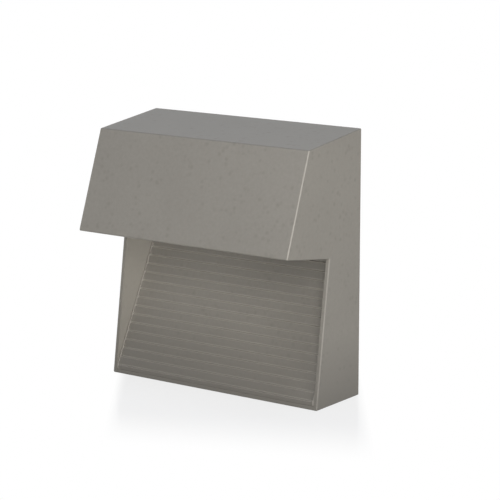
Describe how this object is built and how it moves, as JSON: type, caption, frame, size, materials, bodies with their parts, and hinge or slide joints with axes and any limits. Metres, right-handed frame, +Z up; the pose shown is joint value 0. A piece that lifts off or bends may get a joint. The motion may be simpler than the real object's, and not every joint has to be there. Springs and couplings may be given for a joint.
{
  "type": "step light",
  "caption": "Wall-hung step light: a cast housing whose sloping hood shines down over a stepped reflector set between two side cheeks, on a screw-fixed wall plate.",
  "frame": {"origin": "middle of the two wall-fixing holes, on the wall face", "axes": "+X to the right seen from the front, +Y into the wall, +Z up"},
  "size_m": [0.11, 0.0538, 0.1156],
  "materials": {
    "housing_coat": "die-cast aluminium with a warm grey satin powder coat",
    "reflector_coat": "cast aluminium with a warm grey satin powder coat",
    "plate_steel": "stainless steel sheet",
    "screw_steel": "stainless steel",
    "zinc_steel": "zinc-plated steel",
    "bare_aluminium": "bare sheet",
    "foam": "closed-cell foam rubber",
    "seal_rubber": "moulded silicone rubber",
    "lens_plastic": "frosted clear window",
    "thermal_sheet": "soft thermal sheet",
    "board_white": "white solder mask",
    "chip_yellow": "phosphor over a white package",
    "driver_plastic": "moulded white plastic",
    "circuit_green": "green solder mask",
    "transformer_tape": "yellow tape over a ferrite core",
    "capacitor_sleeve": "shrink sleeve over an aluminium can",
    "terminal_plastic": "moulded polyamide",
    "brass": "plain",
    "lead_brown": "PVC insulation",
    "lead_blue": "PVC insulation",
    "lead_green": "green and yellow PVC insulation",
    "lead_red": "PVC insulation",
    "lead_black": "PVC insulation"
  },
  "bodies": {
    "wall_plate": {"backplate": "plate_steel", "wall_gasket": "foam", "cable_grommet": "seal_rubber", "flange_nuts": "zinc_steel"},
    "housing": {"housing": "housing_coat", "ribbed_reflector": "reflector_coat", "reflector_screws": "zinc_steel", "lens_gasket": "seal_rubber", "lens": "lens_plastic", "lens_frame": "plate_steel", "lens_frame_screws": "zinc_steel", "heat_spreader": "bare_aluminium", "heat_spreader_screws": "zinc_steel", "thermal_pad": "thermal_sheet", "led_board": "board_white", "led_board_screws": "zinc_steel", "led_chips": "chip_yellow", "driver_base": "driver_plastic", "driver_screws": "zinc_steel", "driver_case": "driver_plastic", "driver_circuit_board": "circuit_green", "driver_transformer": "transformer_tape", "driver_capacitor": "capacitor_sleeve", "terminal_block": "terminal_plastic", "terminal_cages": "brass", "terminal_screws": "zinc_steel", "neutral_lead": "lead_blue", "live_lead": "lead_brown", "led_positive_lead": "lead_red", "led_negative_lead": "lead_black", "earth_ring_terminal": "zinc_steel", "earth_lead": "lead_green", "earth_screw": "brass"},
    "left_washer": {"left_washer": "screw_steel"},
    "left_clamp_screw": {"left_clamp_screw": "screw_steel"},
    "right_washer": {"right_washer": "screw_steel"},
    "right_clamp_screw": {"right_clamp_screw": "screw_steel"}
  },
  "joints": [
    {"name": "housing_pull_off", "type": "slide", "parent": "wall_plate", "child": "housing", "axis": [0, -1, 0], "range_m": [0, 0.06]},
    {"name": "left_washer_drop", "type": "slide", "parent": "wall_plate", "child": "left_washer", "axis": [0, 0, -1], "range_m": [0, 0.0014]},
    {"name": "left_screw_turn", "type": "hinge", "parent": "left_washer", "child": "left_clamp_screw", "pos_m": [-0.035, -0.008, -0.088], "axis": [0, 0, -1], "range_deg": [0, 720]},
    {"name": "right_washer_drop", "type": "slide", "parent": "wall_plate", "child": "right_washer", "axis": [0, 0, -1], "range_m": [0, 0.0014]},
    {"name": "right_screw_turn", "type": "hinge", "parent": "right_washer", "child": "right_clamp_screw", "pos_m": [0.035, -0.008, -0.088], "axis": [0, 0, -1], "range_deg": [0, 720]}
  ],
  "couplings": [
    {"joint": "left_screw_turn", "follows": "left_washer_drop", "rad_per_m": 8975.9},
    {"joint": "right_screw_turn", "follows": "right_washer_drop", "rad_per_m": 8975.9}
  ]
}
